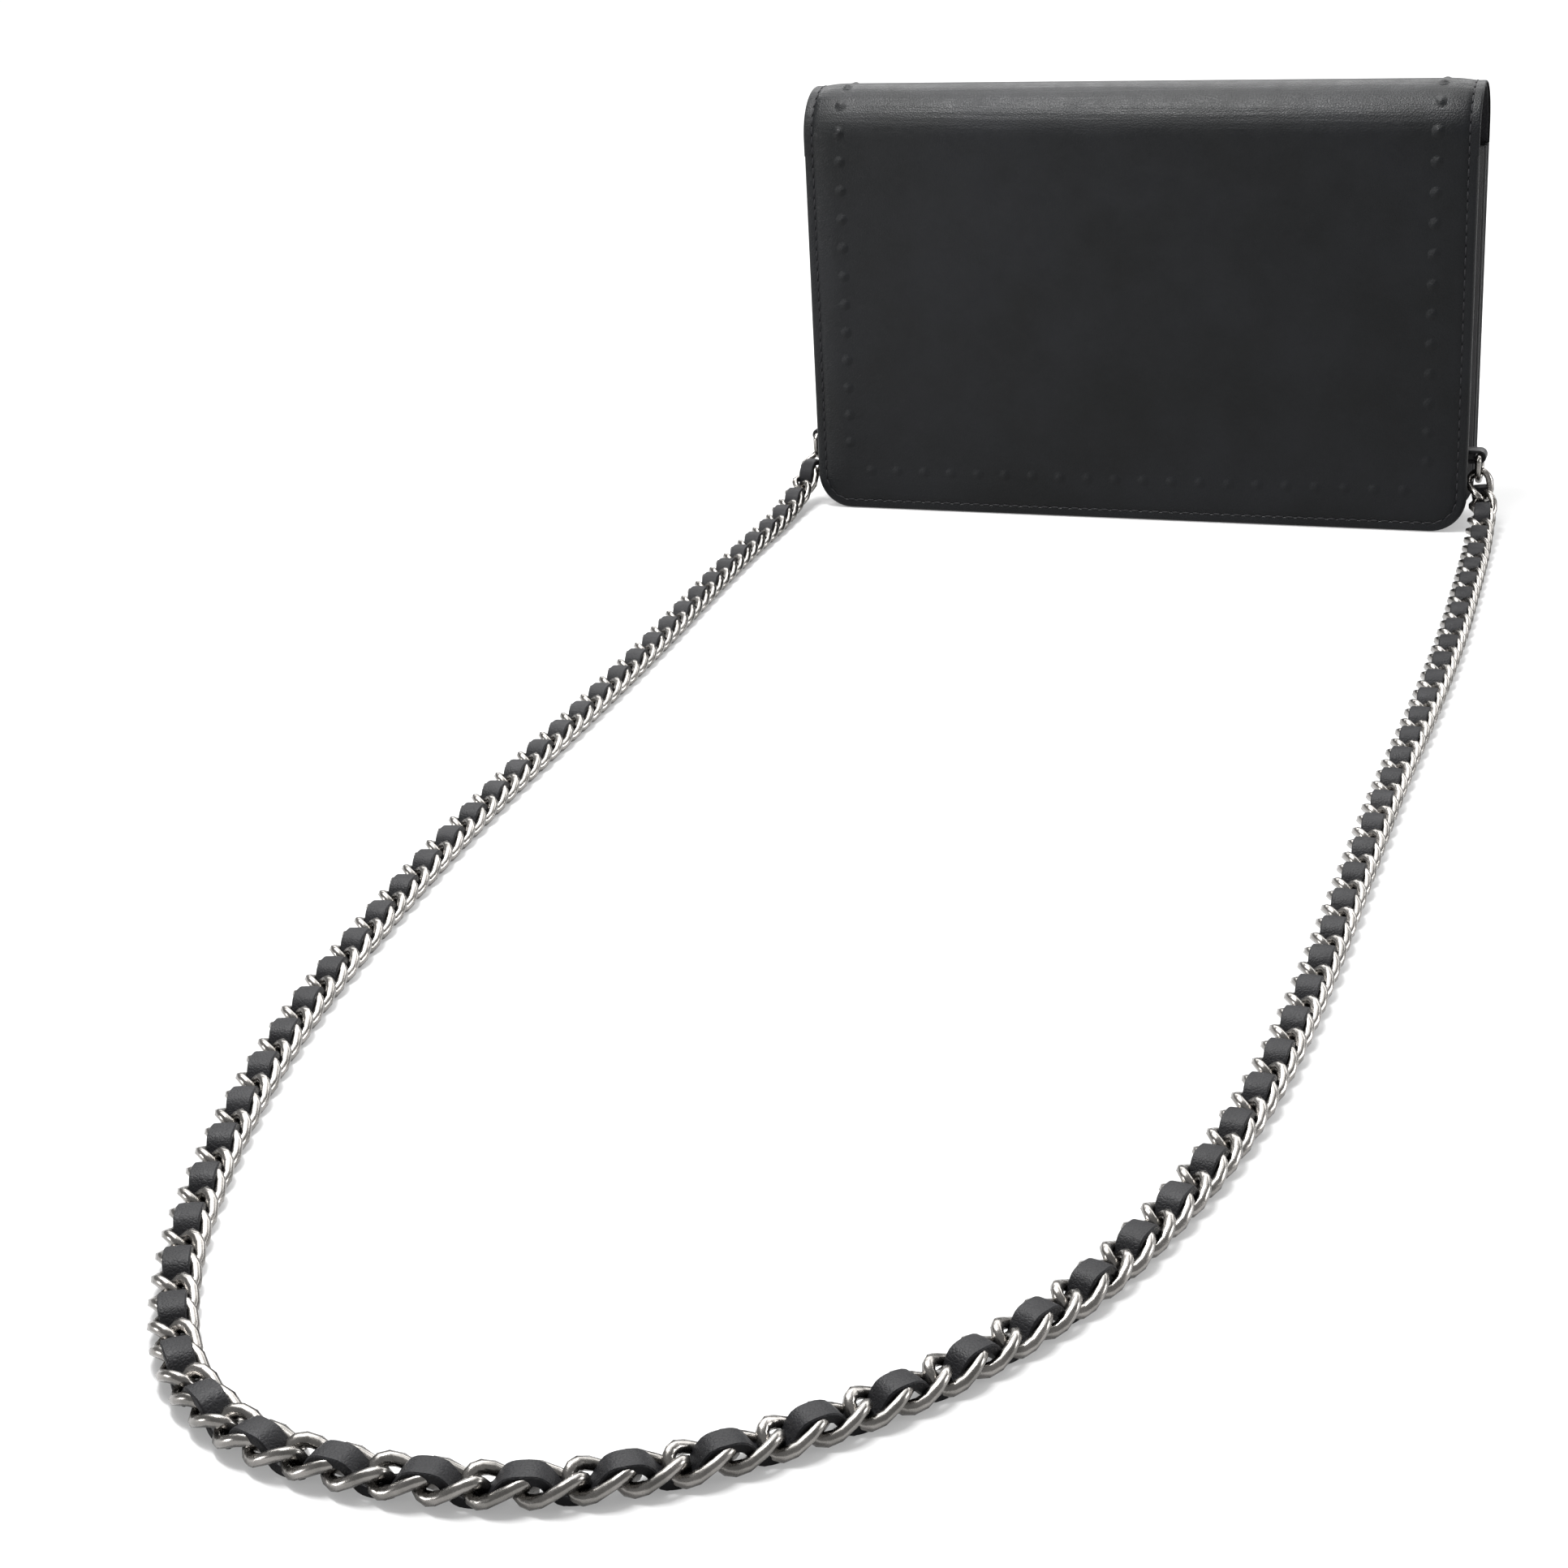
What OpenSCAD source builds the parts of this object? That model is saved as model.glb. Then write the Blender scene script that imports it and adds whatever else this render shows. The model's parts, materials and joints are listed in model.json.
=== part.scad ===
// Chain wallet: a leather body with a fold-over flap and a woven chain strap.
// Millimetres. The origin is on the floor under the middle of the wallet.
// X runs along the width, -Y faces the back panel, +Y faces the flap, Z is up.

/* [Wallet] */
// Width across the panels
wallet_w = 192; // [188:1:200]
// Height over the top fold
wallet_h = 124; // [118:1:132]
// Depth from the back panel to the flap
wallet_d = 28; // [27.6:0.2:29]
// Radius of the bottom corners
corner_r = 10; // [10:0.5:14]
// Distance from the top of the fold down to the top of the body
body_drop = 19; // [17:1:22]
// Height of the flap's free edge above the floor
flap_lift = 2; // [1:0.5:6]

/* [Leather] */
// Thickness of the outer leather
leather_t = 1.2; // [1.0:0.1:1.2]
// Thickness of the stiffening board
board_t = 1.0; // [0.6:0.1:1.0]
// Thickness of the lining
lining_t = 0.8; // [0.6:0.1:0.8]
// Distance from a panel's edge to its board
board_inset = 4; // [3:0.5:6]
// Gap between the front wall and the closed flap
flap_gap = 2.6; // [2.6:0.1:3.0]
// Depth of the V fold in the gusset
gusset_fold = 8; // [6:0.5:8]

/* [Card slots] */
// Width of one card slot
slot_w = 87.5; // [86.5:0.5:87.5]
// Height of the highest slot's mouth above the floor
slot_top = 98; // [90:1:100]
// Step down from one slot's mouth to the next
slot_step = 10; // [8:1:12]

/* [Zip pocket] */
// Height of the zip above the floor
zip_z = 90; // [80:1:92]
// Length of the rows of teeth
zip_len = 136; // [120:2:138]
// Length of the pull
pull_len = 20; // [14:1:20]

/* [Ring and tab] */
// Height of the ring's bar above the floor
ring_z = 20; // [18:1:30]
// Thickness of the ring's wire
ring_wire = 1.8; // [1.6:0.1:2.0]
// Distance between the middles of the ring's two arms
ring_w = 9; // [8:0.5:10]
// Clearance between the ring's bar and the tab's loop, on the radius
ring_play = 0.05; // [0.02:0.01:0.09]

/* [Chain strap] */
// Width of the chain lying flat
chain_w = 8; // [7:0.5:8]
// Height of the chain lying flat, with its leather lace
chain_h = 5; // [4:0.5:5]

/* [Hidden] */
$fn = 64;

half_w = wallet_w / 2;
panel_t = leather_t + board_t + lining_t;

// The fold is half a tube round this height
fold_r = wallet_d / 2;
fold_z = wallet_h - fold_r;
body_top = wallet_h - body_drop;

// The fold bends at four lines, and each strip of it spans 45 degrees.
// A hair of clearance is left on both sides of each line.
fold_step = 45;
fold_play = 0.4;

// Inner faces of the back panel and the flap, and both faces of the front wall
back_in = -fold_r + panel_t;
flap_in = fold_r - panel_t;
front_out = flap_in - flap_gap;
front_in = front_out - panel_t;

// The gusset lies between the two walls and folds inwards at this depth
gusset_t = 1;
gusset_y = (back_in + front_in) / 2;
gusset_edge = 0.6;
flange_w = 6;

// The card slots start at this height on their backing
slot_z = 8;
slot_t = 0.8;
backing_t = 0.6;

// The zip runs along the middle of its pocket
pocket_t = 0.8;
pocket_y0 = -3.6;
pocket_y1 = 4;
pocket_z = 12;
zip_y = (pocket_y0 + pocket_y1) / 2;
tape_t = 0.6;
teeth_in = 0.5;
teeth_out = 1.9;
teeth_t = 1.8;
slider_l = 8;
slider_half = 2.2;
slider_gap = 0.2;
slider_t = 1;
slider_x = zip_len / 2 - slider_l / 2;
pin_r = 0.6;
pin_rise = 1.5;
pin_z = zip_z + teeth_t / 2 + slider_gap + slider_t + pin_rise;

// Press stud, in the middle of the flap near its free edge
snap_z = 24;
snap_hole_r = 2.6;

// The rings hang just outside the panels' edges
ring_x = half_w + 2.3;
tab_w = 4.8;
ring_arm = 2.5;

// The chain lies on the floor from the left ring round to the right one
chain_z = chain_h / 2;
chain_sides = 8;
chain_parts = 2;
chain_route = [
    [-101, -11, 8], [-101, -22, 4.5], [-100, -44, 2.5], [-99, -72, 2.5], [-97, -105, 2.5],
    [-93, -158, 2.5], [-90, -212, 2.5], [-88, -260, 2.5], [-85, -303, 2.5], [-81, -341, 2.5],
    [-76, -377, 2.5], [-69, -410, 2.5], [-60, -441, 2.5], [-49, -469, 2.5], [-35, -492, 2.5],
    [-18, -505, 2.5], [-2, -509, 2.5], [14, -509, 2.5], [28, -506, 2.5], [40, -500, 2.5],
    [51, -492, 2.5], [61, -482, 2.5], [71, -470, 2.5], [80, -455, 2.5], [88, -437, 2.5],
    [94, -416, 2.5], [99, -390, 2.5], [102, -358, 2.5], [103, -320, 2.5], [103, -275, 2.5],
    [103, -225, 2.5], [104, -165, 2.5], [104, -115, 2.5], [103, -75, 2.5], [102, -44, 2.5],
    [101, -22, 4.5], [101, -11, 8]
];

// Outline of a panel, rounded at its two bottom corners
module outline(inset, top, lift = 0) {
    for (side = [-1, 1])
        translate([side * (half_w - corner_r), lift + corner_r]) circle(r = corner_r - inset);
    translate([-half_w + inset, lift + corner_r])
        square([wallet_w - 2 * inset, top - lift - corner_r]);
    translate([-half_w + corner_r, lift + inset])
        square([wallet_w - 2 * corner_r, corner_r]);
}

// A flat layer of a panel between two depths
module layer(y0, y1, inset, top, lift = 0) {
    translate([0, y1, 0]) rotate([90, 0, 0]) linear_extrude(y1 - y0) outline(inset, top, lift);
}

// A box between two corners
module block(low, high) {
    translate(low) cube(high - low);
}

// A cylinder along Y between two depths
module rod_y(x, z, r, y0, y1) {
    translate([x, y1, z]) rotate([90, 0, 0]) cylinder(r = r, h = y1 - y0);
}

// A strip of the fold between two radii and two angles, counted from the flap's side
module fold_strip(r0, r1, from, to, inset = 0) {
    translate([-half_w + inset, 0, fold_z]) rotate([90, 0, 90]) rotate([0, 0, from])
        rotate_extrude(angle = to - from)
            translate([r0, 0]) square([r1 - r0, wallet_w - 2 * inset]);
}

module fold_leather(from, to) {
    color("#242426") fold_strip(fold_r - leather_t, fold_r, from, to);
}

module fold_lining(from, to) {
    color("#2b2b2e") fold_strip(fold_r - leather_t - lining_t, fold_r - leather_t, from, to, gusset_edge);
}

// Strip 1 is nearest the back panel and strip 3 nearest the flap
function strip_from(i) = 180 - (i + 0.5) * fold_step + fold_play;
function strip_to(i) = 180 - (i - 0.5) * fold_step - fold_play;

// Back panel: leather, board and lining
module back_leather() {
    color("#242426") {
        layer(-fold_r, -fold_r + leather_t, 0, fold_z);
        mirror([0, 1, 0]) fold_leather(0, fold_step / 2 - fold_play);
    }
}

module back_board() {
    color("#8a8378") layer(-fold_r + leather_t, back_in - lining_t, board_inset, body_top - board_inset);
}

module back_lining() {
    color("#2b2b2e") difference() {
        union() {
            layer(-fold_r + leather_t, back_in, gusset_edge, body_top);
            layer(-fold_r + leather_t, -fold_r + leather_t + lining_t, gusset_edge, fold_z);
            mirror([0, 1, 0]) fold_lining(0, fold_step / 2 - fold_play);
        }
        layer(-fold_r, back_in - lining_t, board_inset, body_top - board_inset);
    }
}

// Front wall: leather, board and lining
module front_leather() {
    color("#242426") layer(front_out - leather_t, front_out, 0, body_top);
}

module front_board() {
    color("#8a8378") layer(front_in + lining_t, front_out - leather_t, board_inset, body_top - board_inset);
}

module front_lining() {
    color("#2b2b2e") difference() {
        layer(front_in, front_out - leather_t, gusset_edge, body_top);
        layer(front_in + lining_t, front_out, board_inset, body_top - board_inset);
    }
}

// Section of the gusset, as distance in from the panels' edge against depth
function gusset_section() = [
    [gusset_edge + flange_w, back_in], [gusset_edge, back_in],
    [gusset_edge, back_in + 1.1], [gusset_fold, gusset_y], [gusset_edge, front_in - 1.1],
    [gusset_edge, front_in], [gusset_edge + flange_w, front_in],
    [gusset_edge + flange_w, front_in - gusset_t], [gusset_edge + 1.4, front_in - gusset_t],
    [gusset_fold + 1.4, gusset_y],
    [gusset_edge + 1.4, back_in + gusset_t], [gusset_edge + flange_w, back_in + gusset_t]
];

// The gusset runs down one side, along the bottom and up the other side
module gusset() {
    section = gusset_section();
    color("#1f1f21") {
        for (side = [-1, 1]) {
            translate([0, 0, corner_r]) linear_extrude(body_top - corner_r)
                polygon([for (p = section) [side * (half_w - p[0]), p[1]]]);
            translate([side * (half_w - corner_r), 0, corner_r]) rotate([90, 0, 0])
                rotate([0, 0, side > 0 ? -90 : 180]) rotate_extrude(angle = 90)
                    polygon([for (p = section) [corner_r - p[0], -p[1]]]);
        }
        translate([-half_w + corner_r, 0, 0]) rotate([90, 0, 90])
            linear_extrude(wallet_w - 2 * corner_r) polygon([for (p = section) [p[1], p[0]]]);
    }
}

// Card slots: three on each side, each lower than the one behind it
module card_backing() {
    color("#2f2f32")
        block([-slot_w - 0.5, back_in, slot_z], [slot_w + 0.5, back_in + backing_t, slot_top]);
}

module card_slot(column, row) {
    x0 = column < 0 ? -slot_w - 0.5 : 0.5;
    y0 = back_in + backing_t + row * slot_t;
    color("#333337")
        block([x0, y0, slot_z], [x0 + slot_w, y0 + slot_t, slot_top - slot_step * row - 4]);
}

// Zip pocket: a flat pouch sewn between the two gusset folds
module zip_pocket() {
    reach = half_w - gusset_fold - 1.4;
    color("#2f2f32") difference() {
        block([-reach, pocket_y0, pocket_z], [reach, pocket_y1, zip_z + 2]);
        block([-reach + pocket_t, pocket_y0 + pocket_t, pocket_z + pocket_t],
              [reach - pocket_t, pocket_y1 - pocket_t, zip_z + 3]);
    }
}

// A zip tape lies under its teeth and turns down against the pocket's wall
module zip_tape(side) {
    reach = half_w - gusset_fold - 1.4 - pocket_t;
    wall = (pocket_y1 - pocket_y0) / 2 - pocket_t;
    color("#1c1c1e") translate([0, zip_y, 0]) mirror([0, side < 0 ? 1 : 0, 0]) {
        block([-reach, teeth_out, zip_z - tape_t / 2], [reach, wall, zip_z + tape_t / 2]);
        block([-reach, wall - tape_t, zip_z - 10], [reach, wall, zip_z]);
    }
}

module zip_teeth(side) {
    color("#8c8a86") translate([0, zip_y, 0]) mirror([0, side < 0 ? 1 : 0, 0])
        block([-zip_len / 2, teeth_in, zip_z - teeth_t / 2], [zip_len / 2, teeth_out, zip_z + teeth_t / 2]);
}

// Two stops at the closed end and one across the open end
module zip_stops() {
    stop_l = 2;
    color("#8c8a86") {
        for (side = [-1, 1]) translate([0, zip_y, 0]) mirror([0, side < 0 ? 1 : 0, 0])
            block([zip_len / 2, teeth_in, zip_z - 1.1], [zip_len / 2 + stop_l, teeth_out, zip_z + 1.1]);
        block([-zip_len / 2 - stop_l, zip_y - teeth_out, zip_z - 1.1],
              [-zip_len / 2, zip_y + teeth_out, zip_z + 1.1]);
    }
}

// The slider's two plates hold the teeth between them, joined by a post in the middle
module zip_slider() {
    rim = teeth_t / 2 + slider_gap;
    color("#9a9894") translate([slider_x, zip_y, zip_z]) {
        for (side = [-1, 1])
            block([-slider_l / 2, -slider_half, side * (rim + slider_t / 2) - slider_t / 2],
                  [slider_l / 2, slider_half, side * (rim + slider_t / 2) + slider_t / 2]);
        block([1.5, -0.35, -rim - 0.1], [3.5, 0.35, rim + 0.1]);
        for (side = [-1, 1])
            block([-1.2, side * 1.5 - 0.3, rim + slider_t - 0.1],
                  [1.2, side * 1.5 + 0.3, rim + slider_t + pin_rise + 0.9]);
        rod_y(0, pin_z - zip_z, pin_r, -1.5, 1.5);
    }
}

// The pull lies along the zip and turns on the slider's pin
module zip_pull() {
    eye_r = 1.25;
    neck = 1.1;
    grip = 2.2;
    color("#9a9894") translate([slider_x, zip_y, pin_z]) difference() {
        union() {
            rod_y(0, 0, eye_r, -neck, neck);
            block([-4, -neck, -0.5], [-0.9, neck, 0.5]);
            block([-pull_len, -grip, -0.5], [-3.5, grip, 0.5]);
        }
        rod_y(0, 0, pin_r + 0.03, -2, 2);
    }
}

// Press stud on the flap and its socket on the front wall
module snap_socket() {
    color("#8c8a86") difference() {
        rod_y(0, snap_z, 6, front_out, front_out + 1.4);
        rod_y(0, snap_z, snap_hole_r, front_out + 0.2, front_out + 2);
    }
}

module snap_stud() {
    color("#8c8a86") {
        rod_y(0, snap_z, 5, flap_in - 0.8, flap_in);
        rod_y(0, snap_z, snap_hole_r - 0.5, front_out + 0.5, flap_in - 0.6);
    }
}

// A leather tab grips the gusset's fold and loops round the ring's bar
module tab(side) {
    loop_r = 2;
    tail = gusset_fold - 0.2;
    root = gusset_fold - tab_w / 2 - 0.4;
    color("#1f1f21") mirror([side < 0 ? 1 : 0, 0, 0]) difference() {
        union() {
            translate([0, 0, ring_z - 1.1]) linear_extrude(2.2) polygon([
                [half_w - tail, gusset_y], [half_w - root, gusset_y - tab_w / 2],
                [ring_x, gusset_y - tab_w / 2], [ring_x, gusset_y + tab_w / 2],
                [half_w - root, gusset_y + tab_w / 2]
            ]);
            rod_y(ring_x, ring_z, loop_r, gusset_y - tab_w / 2, gusset_y + tab_w / 2);
        }
        rod_y(ring_x, ring_z, ring_wire / 2 + ring_play, gusset_y - ring_w, gusset_y + ring_w);
    }
}

// A D-shaped ring: a straight bar, two short arms and a half circle hanging below
module ring(side) {
    wire_r = ring_wire / 2;
    color("#a3a09b") translate([side * ring_x, gusset_y, ring_z]) {
        rod_y(0, 0, wire_r, -ring_w / 2, ring_w / 2);
        for (arm = [-1, 1]) translate([0, arm * ring_w / 2, 0]) {
            sphere(r = wire_r);
            translate([0, 0, -ring_arm]) cylinder(r = wire_r, h = ring_arm);
        }
        translate([0, 0, -ring_arm]) rotate([90, 0, 90]) rotate([0, 0, 180])
            rotate_extrude(angle = 180) translate([ring_w / 2, 0]) circle(r = wire_r);
    }
}

// Flap: leather, board and lining
module flap_leather() {
    color("#242426") {
        layer(fold_r - leather_t, fold_r, 0, fold_z, flap_lift);
        fold_leather(0, fold_step / 2 - fold_play);
    }
}

module flap_board() {
    color("#8a8378")
        layer(flap_in + lining_t, fold_r - leather_t, board_inset, body_top - board_inset, flap_lift);
}

module flap_lining() {
    color("#2b2b2e") difference() {
        union() {
            layer(flap_in, fold_r - leather_t, gusset_edge, body_top, flap_lift);
            layer(fold_r - leather_t - lining_t, fold_r - leather_t, gusset_edge, fold_z, flap_lift);
            fold_lining(0, fold_step / 2 - fold_play);
        }
        layer(flap_in + lining_t, fold_r, board_inset, body_top - board_inset, flap_lift);
    }
}

// Chain strap: a smooth curve through the route's points, never below the floor
function curve(a, b, c, d, t) =
    0.5 * (2 * b + (c - a) * t + (2 * a - 5 * b + 4 * c - d) * t * t
        + (3 * b - a - 3 * c + d) * t * t * t);
function route_at(i) = chain_route[min(max(i, 0), len(chain_route) - 1)];
function on_floor(p) = [p[0], p[1], max(p[2], chain_z)];
function unit(v) = v / norm(v);

chain_line = [
    for (i = [0 : len(chain_route) - 2], k = [0 : chain_parts - 1])
        on_floor(curve(route_at(i - 1), route_at(i), route_at(i + 1), route_at(i + 2), k / chain_parts)),
    route_at(len(chain_route))
];

// Direction of the chain at a point, and the eight corners of its tube there
function heading(i) =
    unit(chain_line[min(i + 1, len(chain_line) - 1)] - chain_line[max(i - 1, 0)]);
function corner(i, k) =
    let (ahead = heading(i), side = unit(cross(ahead, [0, 0, 1])), up = cross(side, ahead),
         turn = (k + 0.5) * 360 / chain_sides,
         reach = 0.5 / cos(180 / chain_sides))
    chain_line[i] + reach * (chain_w * cos(turn) * side + chain_h * sin(turn) * up);

module chain_strap() {
    rings = len(chain_line);
    color("#8f8c87") polyhedron(
        points = [for (i = [0 : rings - 1], k = [0 : chain_sides - 1]) corner(i, k)],
        faces = [
            [for (k = [0 : chain_sides - 1]) k],
            for (i = [0 : rings - 2], k = [0 : chain_sides - 1])
                let (a = i * chain_sides, next = (k + 1) % chain_sides)
                [a + k, a + chain_sides + k, a + chain_sides + next, a + next],
            [for (k = [chain_sides - 1 : -1 : 0]) (rings - 1) * chain_sides + k]
        ]
    );
}

back_leather();
back_board();
back_lining();
front_leather();
front_board();
front_lining();
gusset();
card_backing();
card_slot(-1, 0);  // card_slot_1
card_slot(-1, 1);  // card_slot_2
card_slot(-1, 2);  // card_slot_3
card_slot(1, 0);  // card_slot_4
card_slot(1, 1);  // card_slot_5
card_slot(1, 2);  // card_slot_6
zip_pocket();
zip_tape(-1);  // zip_tape_rear
zip_tape(1);  // zip_tape_front
zip_teeth(-1);  // zip_teeth_rear
zip_teeth(1);  // zip_teeth_front
zip_stops();
zip_slider();
zip_pull();
snap_socket();
snap_stud();
tab(-1);  // tab_left
tab(1);  // tab_right
ring(-1);  // ring_left
ring(1);  // ring_right
fold_leather(strip_from(1), strip_to(1));  // fold_leather_1
fold_leather(strip_from(2), strip_to(2));  // fold_leather_2
fold_leather(strip_from(3), strip_to(3));  // fold_leather_3
fold_lining(strip_from(1), strip_to(1));  // fold_lining_1
fold_lining(strip_from(2), strip_to(2));  // fold_lining_2
fold_lining(strip_from(3), strip_to(3));  // fold_lining_3
flap_leather();
flap_board();
flap_lining();
chain_strap();
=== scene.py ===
import json
import math

import bmesh
import bpy
from mathutils import Matrix, Vector


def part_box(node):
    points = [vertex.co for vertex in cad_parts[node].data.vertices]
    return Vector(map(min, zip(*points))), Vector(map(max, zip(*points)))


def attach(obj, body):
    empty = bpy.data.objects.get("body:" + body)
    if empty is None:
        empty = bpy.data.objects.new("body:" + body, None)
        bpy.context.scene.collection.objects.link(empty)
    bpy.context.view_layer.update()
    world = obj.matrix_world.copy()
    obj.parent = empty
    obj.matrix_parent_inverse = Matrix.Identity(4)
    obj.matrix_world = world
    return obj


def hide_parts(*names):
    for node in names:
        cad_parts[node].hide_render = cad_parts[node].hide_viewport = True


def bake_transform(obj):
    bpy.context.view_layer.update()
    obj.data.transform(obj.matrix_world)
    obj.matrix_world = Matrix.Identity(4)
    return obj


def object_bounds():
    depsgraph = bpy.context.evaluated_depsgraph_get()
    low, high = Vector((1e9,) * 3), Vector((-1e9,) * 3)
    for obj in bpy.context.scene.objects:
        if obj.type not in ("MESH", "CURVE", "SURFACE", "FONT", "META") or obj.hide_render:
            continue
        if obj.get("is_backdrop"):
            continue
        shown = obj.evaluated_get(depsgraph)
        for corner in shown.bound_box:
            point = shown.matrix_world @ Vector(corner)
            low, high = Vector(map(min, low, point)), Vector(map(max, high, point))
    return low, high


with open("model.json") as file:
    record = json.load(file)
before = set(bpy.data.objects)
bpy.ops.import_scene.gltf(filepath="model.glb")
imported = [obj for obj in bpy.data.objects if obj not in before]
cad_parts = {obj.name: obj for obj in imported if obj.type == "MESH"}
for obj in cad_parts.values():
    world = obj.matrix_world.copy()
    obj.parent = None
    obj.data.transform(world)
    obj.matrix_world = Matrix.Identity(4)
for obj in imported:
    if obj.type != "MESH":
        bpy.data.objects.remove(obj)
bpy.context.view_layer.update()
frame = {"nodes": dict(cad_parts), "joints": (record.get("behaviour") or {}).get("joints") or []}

# Pieces are drawn in millimetres and brought to metres when they are finished.
MM = 0.001


# ---------------------------------------------------------------- sizes from the frame
def corner_mm(name, which):
    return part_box(name)[which] / MM


def span(name):
    """A node's low and high corners in millimetres."""
    return corner_mm(name, 0), corner_mm(name, 1)


def joint_at(name):
    """A joint's place in millimetres."""
    return next(Vector(j["pos_m"]) / MM for j in frame["joints"] if j["name"] == name)


HALF_W = corner_mm("back_leather", 1).x
FOLD_R = -corner_mm("back_leather", 0).y
FOLD_Z = corner_mm("fold_leather_2", 1).z - FOLD_R
BODY_TOP = corner_mm("front_leather", 1).z
FLAP_LIFT = corner_mm("flap_leather", 0).z
LEATHER_T = 1.2
LINING_T = 0.8
PANEL_T = 3.0
BACK_IN = -FOLD_R + PANEL_T
FLAP_IN = FOLD_R - PANEL_T
FRONT_OUT = corner_mm("front_leather", 1).y
FRONT_IN = FRONT_OUT - PANEL_T
GUSSET_Y = (BACK_IN + FRONT_IN) / 2
CORNER_R = 10.0

# ---------------------------------------------------------------- camera
CAMERA_TURN = 20.17
CAMERA_DIP = 20.67
CAMERA_ROLL = -3.0
CAMERA_VIEW = 31.5
SENSOR = 36

camera = bpy.data.objects.new("camera", bpy.data.cameras.new("camera"))
bpy.context.scene.collection.objects.link(camera)
camera.location = (0.1729, -0.7899, 0.2203)
camera.rotation_euler = (
    Matrix.Rotation(math.radians(CAMERA_TURN), 3, "Z")
    @ Matrix.Rotation(math.radians(90 - CAMERA_DIP), 3, "X")
    @ Matrix.Rotation(math.radians(CAMERA_ROLL), 3, "Z")
).to_euler()
camera.data.sensor_width = SENSOR
camera.data.lens = SENSOR / 2 / math.tan(math.radians(CAMERA_VIEW / 2))
camera.data.clip_start = 0.01
bpy.context.scene.camera = camera


# ---------------------------------------------------------------- materials
def linear(code):
    """An sRGB hex colour as linear RGBA."""
    parts = [int(code[i:i + 2], 16) / 255 for i in (1, 3, 5)]
    return [c / 12.92 if c <= 0.04045 else ((c + 0.055) / 1.055) ** 2.4 for c in parts] + [1.0]


def node(tree, kind, settings=None, **sockets):
    """Adds a node, sets its properties, and sets or links each named input; i0 and i1 name inputs by index."""
    made = tree.nodes.new("ShaderNode" + kind)
    for key, value in (settings or {}).items():
        setattr(made, key, value)
    for key, value in sockets.items():
        by_index = key[0] == "i" and key[1:].isdigit()
        target = made.inputs[int(key[1:]) if by_index else key.replace("_", " ")]
        if isinstance(value, bpy.types.NodeSocket):
            tree.links.new(value, target)
        else:
            target.default_value = value
    return made


def material(name):
    """A new material's tree, its shader, and object coordinates in metres."""
    made = bpy.data.materials.new(name)
    made.use_nodes = True
    tree = made.node_tree
    shader = tree.nodes["Principled BSDF"]
    place = node(tree, "TexCoord").outputs["Object"]
    return made, tree, shader, place


def colours(tree, factor, dark, light, start=0.35, end=0.65):
    """A ramp between two sRGB colours."""
    ramp = node(tree, "ValToRGB", Fac=factor)
    first, last = ramp.color_ramp.elements
    first.position, first.color = start, linear(dark)
    last.position, last.color = end, linear(light)
    return ramp.outputs["Color"]


def band(tree, factor, low, high, out_low, out_high):
    """Maps a value range onto another, clamped."""
    return node(tree, "MapRange", None, Value=factor, From_Min=low, From_Max=high,
                To_Min=out_low, To_Max=out_high).outputs[0]


def noise(tree, place, size_mm, detail, roughness=0.5):
    """Noise whose largest features are about a size in millimetres."""
    return node(tree, "TexNoise", None, Vector=place, Scale=1000 / size_mm, Detail=detail,
                Roughness=roughness).outputs["Fac"]


def product(tree, a, b):
    return node(tree, "Math", {"operation": "MULTIPLY"}, i0=a, i1=b).outputs[0]


def bump(tree, height, strength, distance, **more):
    """The normal of a surface raised by a height, over a distance in metres."""
    return node(tree, "Bump", None, Height=height, Strength=strength, Distance=distance,
                **more).outputs["Normal"]


# The heights in metres between which the creases of the fold come in
CREASE_FROM = 0.108
CREASE_TO = 0.117


def lambskin(name, dark, light, rough, grain_mm, specular, crease=0.0, wave=0.35):
    # Chrome-tanned lambskin, drum-dyed and wax-finished: a close grain, a satin surface, and soft
    # waves where the skin gives between its stitches.
    made, tree, shader, place = material(name)
    tone = noise(tree, place, 28, 3, 0.55)
    tree.links.new(colours(tree, tone, dark, light), shader.inputs["Base Color"])
    shader.inputs["Specular IOR Level"].default_value = specular
    shader.inputs["IOR"].default_value = 1.5
    cells = node(tree, "TexVoronoi", {"feature": "DISTANCE_TO_EDGE"}, Vector=place, Scale=1000 / grain_mm)
    pores = band(tree, cells.outputs["Distance"], 0.0, 0.25, 0.0, 1.0)
    fine = noise(tree, place, grain_mm * 0.8, 2)
    sway = noise(tree, place, 16, 1)
    rub = noise(tree, place, 6, 4, 0.6)
    tree.links.new(band(tree, rub, 0.3, 0.7, rough - 0.05, rough + 0.06), shader.inputs["Roughness"])
    surface = bump(tree, sway, wave, 0.0006)
    if crease:
        # Fine wrinkles along the fold, where the skin bends
        long = node(tree, "Mapping", None, Vector=place, Scale=(30, 700, 700)).outputs["Vector"]
        lines = node(tree, "TexNoise", None, Vector=long, Scale=1.0, Detail=3).outputs["Fac"]
        height = node(tree, "SeparateXYZ", None, Vector=place).outputs["Z"]
        mask = band(tree, height, CREASE_FROM, CREASE_TO, 0.0, crease)
        surface = bump(tree, product(tree, lines, mask), 0.5, 0.0005, Normal=surface)
    surface = bump(tree, pores, 0.3, 0.00012, Normal=surface)
    surface = bump(tree, fine, 0.3, 0.0001, Normal=surface)
    tree.links.new(surface, shader.inputs["Normal"])
    return made


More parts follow.
